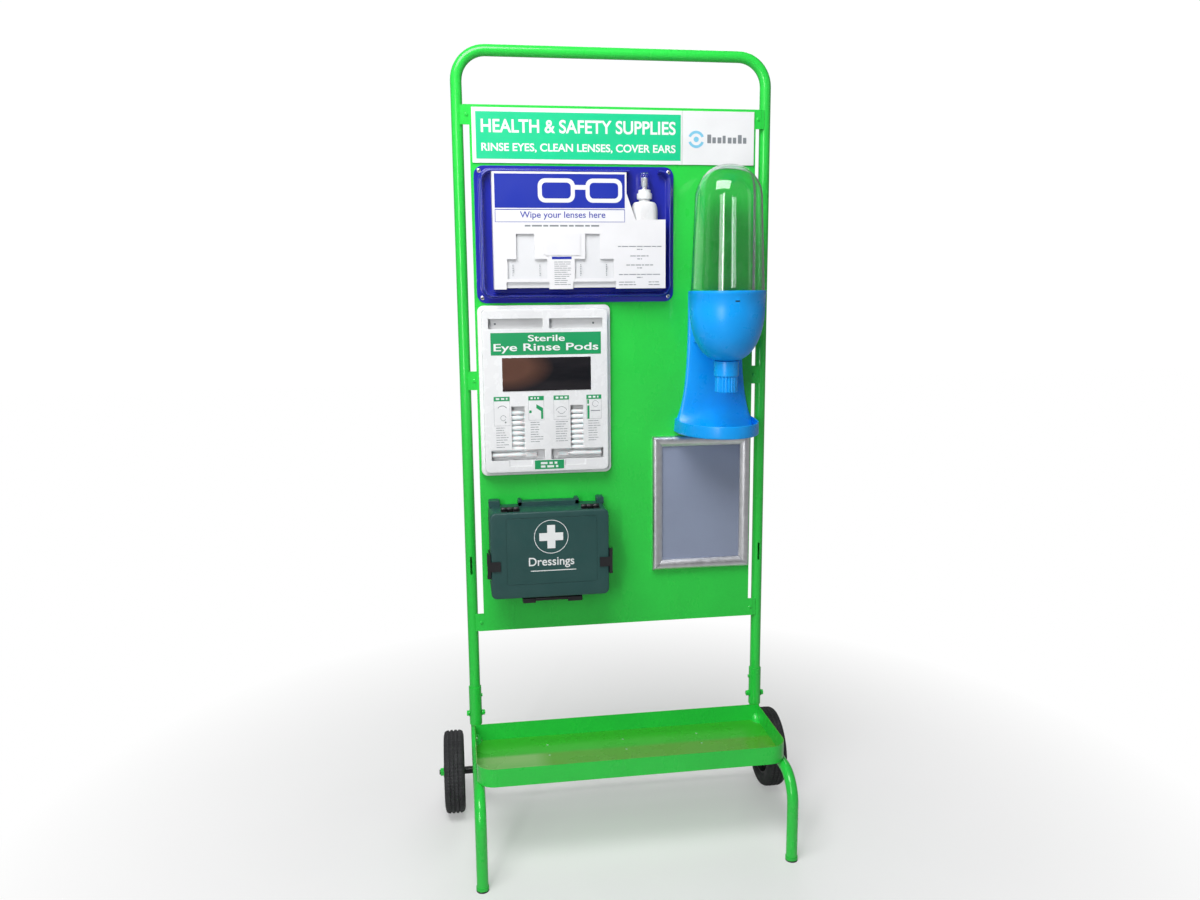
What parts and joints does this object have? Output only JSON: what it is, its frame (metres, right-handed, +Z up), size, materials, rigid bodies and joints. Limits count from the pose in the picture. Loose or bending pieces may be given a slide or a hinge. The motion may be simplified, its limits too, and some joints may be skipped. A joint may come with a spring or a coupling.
{
  "type": "eyewash station",
  "caption": "Wheeled tube stand with a panel that carries an eye wash pod case, lens cleaning unit, earplug dispenser, first aid box, sheet frame and a shelf tray.",
  "frame": {"origin": "on the floor under the centre of the overall box", "axes": "+X to the right seen from the front, -Y out of the front of the panel, +Z up"},
  "size_m": [0.8932, 0.469, 1.8272],
  "materials": {
    "frame_green": "gloss powder coat",
    "panel_green": "satin powder coat on sheet",
    "plated_steel": "zinc plated",
    "black_steel": "black oxide",
    "black_rubber": "matt moulded rubber",
    "ferrule_rubber": "matt",
    "black_plastic": "moulded, matt",
    "white_board": "printed rigid sheet",
    "lens_blue": "gloss vacuum-formed sheet",
    "white_card": "coated board",
    "tissue_white": "matt",
    "bottle_white": "moulded polyethylene",
    "clear_plastic": "clear moulded plastic",
    "case_white": "smooth formed plastic",
    "mirror": "polished acrylic mirror",
    "pod_plastic": "translucent moulded plastic",
    "kit_green": "fine-textured moulded plastic",
    "dressing_white": "wrapped textile dressings",
    "dispenser_blue": "smooth moulded plastic",
    "rotor_white": "moulded",
    "anodised": "satin anodised",
    "sheet_grey": "matt backing sheet behind anti-glare cover"
  },
  "bodies": {
    "stand": {"upper_frame": "frame_green", "panel": "panel_green", "panel_lugs": "frame_green", "panel_screws": "frame_green", "joining_sleeves": "frame_green", "sleeve_bolts": "frame_green", "sleeve_nuts": "frame_green", "sleeve_rivets": "frame_green", "leg_left": "frame_green", "leg_right": "frame_green", "foot_ferrules": "ferrule_rubber", "shelf_tray": "frame_green", "axle": "black_steel", "axle_brackets": "frame_green", "axle_spacers": "black_steel", "axle_nuts": "frame_green", "sign_board": "white_board", "emblem_plate": "white_board", "lens_tray": "lens_blue", "lens_card": "white_card", "lens_screws": "plated_steel", "tissue_boxes": "tissue_white", "pod_case_back": "case_white", "pod_case_front": "case_white", "pod_mirror": "mirror", "pod_stack": "pod_plastic", "pod_case_screws": "plated_steel", "kit_base": "kit_green", "kit_hinge_pins": "plated_steel", "kit_bracket": "black_plastic", "kit_dressings": "dressing_white", "dispenser_back": "dispenser_blue", "dispenser_cup": "dispenser_blue", "dispenser_screws": "plated_steel", "snap_backing": "anodised", "snap_sheet": "sheet_grey"},
    "wheel_left": {"tyre_left": "black_rubber", "rim_left": "black_plastic"},
    "wheel_right": {"tyre_right": "black_rubber", "rim_right": "black_plastic"},
    "kit_lid": {"kit_lid": "kit_green", "kit_clip_seats": "black_plastic", "kit_clip_pins": "plated_steel"},
    "kit_clip_left": {"kit_clip_left": "black_plastic"},
    "kit_clip_right": {"kit_clip_right": "black_plastic"},
    "kit_handle": {"kit_handle": "black_plastic"},
    "dome": {"dispenser_dome": "clear_plastic"},
    "knob": {"dispenser_knob": "dispenser_blue", "dispenser_rotor": "rotor_white"},
    "bottle": {"spray_bottle": "bottle_white", "spray_collar": "bottle_white"},
    "spray_head": {"spray_head": "bottle_white"},
    "overcap": {"spray_overcap": "clear_plastic"},
    "pod_left": {"pod_left": "pod_plastic"},
    "pod_right": {"pod_right": "pod_plastic"},
    "rail_top": {"snap_rail_top": "anodised"},
    "rail_bottom": {"snap_rail_bottom": "anodised"},
    "rail_left": {"snap_rail_left": "anodised"},
    "rail_right": {"snap_rail_right": "anodised"}
  },
  "joints": [
    {"name": "wheel_left_spin", "type": "hinge", "parent": "stand", "child": "wheel_left", "pos_m": [-0.4086, 0.1345, 0.1], "axis": [1, 0, 0], "continuous": true},
    {"name": "wheel_right_spin", "type": "hinge", "parent": "stand", "child": "wheel_right", "pos_m": [0.4086, 0.1345, 0.1], "axis": [1, 0, 0], "continuous": true},
    {"name": "kit_lid_hinge", "type": "hinge", "parent": "stand", "child": "kit_lid", "pos_m": [-0.171, -0.0131, 0.804], "axis": [-1, 0, 0], "range_deg": [0, 90]},
    {"name": "kit_clip_left_hinge", "type": "hinge", "parent": "kit_lid", "child": "kit_clip_left", "pos_m": [-0.3132, -0.0311, 0.6785], "axis": [0, 0, 1], "range_deg": [0, 95]},
    {"name": "kit_clip_right_hinge", "type": "hinge", "parent": "kit_lid", "child": "kit_clip_right", "pos_m": [-0.0338, -0.0311, 0.6785], "axis": [0, 0, -1], "range_deg": [0, 95]},
    {"name": "kit_handle_hinge", "type": "hinge", "parent": "stand", "child": "kit_handle", "pos_m": [-0.169, 0.0199, 0.594], "axis": [1, 0, 0], "range_deg": [0, 90]},
    {"name": "dome_lift", "type": "slide", "parent": "stand", "child": "dome", "axis": [0, 0, 1], "range_m": [0, 0.06]},
    {"name": "knob_turn", "type": "hinge", "parent": "stand", "child": "knob", "pos_m": [0.233, -0.0491, 1.1], "axis": [0, 0, 1], "continuous": true},
    {"name": "bottle_lift", "type": "slide", "parent": "stand", "child": "bottle", "axis": [0, 0, 1], "range_m": [0, 0.165]},
    {"name": "spray_press", "type": "slide", "parent": "bottle", "child": "spray_head", "axis": [0, 0, -1], "range_m": [0, 0.005], "stiffness_N_per_m": 200},
    {"name": "overcap_lift", "type": "slide", "parent": "bottle", "child": "overcap", "axis": [0, 0, 1], "range_m": [0, 0.045]},
    {"name": "pod_left_pull", "type": "slide", "parent": "stand", "child": "pod_left", "axis": [0, -1, 0], "range_m": [0, 0.06]},
    {"name": "pod_right_pull", "type": "slide", "parent": "stand", "child": "pod_right", "axis": [0, -1, 0], "range_m": [0, 0.06]},
    {"name": "rail_top_snap", "type": "hinge", "parent": "stand", "child": "rail_top", "pos_m": [0.2025, 0.0541, 0.9498], "axis": [-1, 0, 0], "range_deg": [0, 80]},
    {"name": "rail_bottom_snap", "type": "hinge", "parent": "stand", "child": "rail_bottom", "pos_m": [0.2025, 0.0541, 0.6228], "axis": [1, 0, 0], "range_deg": [0, 80]},
    {"name": "rail_left_snap", "type": "hinge", "parent": "stand", "child": "rail_left", "pos_m": [0.0825, 0.0541, 0.7863], "axis": [0, 0, -1], "range_deg": [0, 80]},
    {"name": "rail_right_snap", "type": "hinge", "parent": "stand", "child": "rail_right", "pos_m": [0.3225, 0.0541, 0.7863], "axis": [0, 0, 1], "range_deg": [0, 80]}
  ]
}
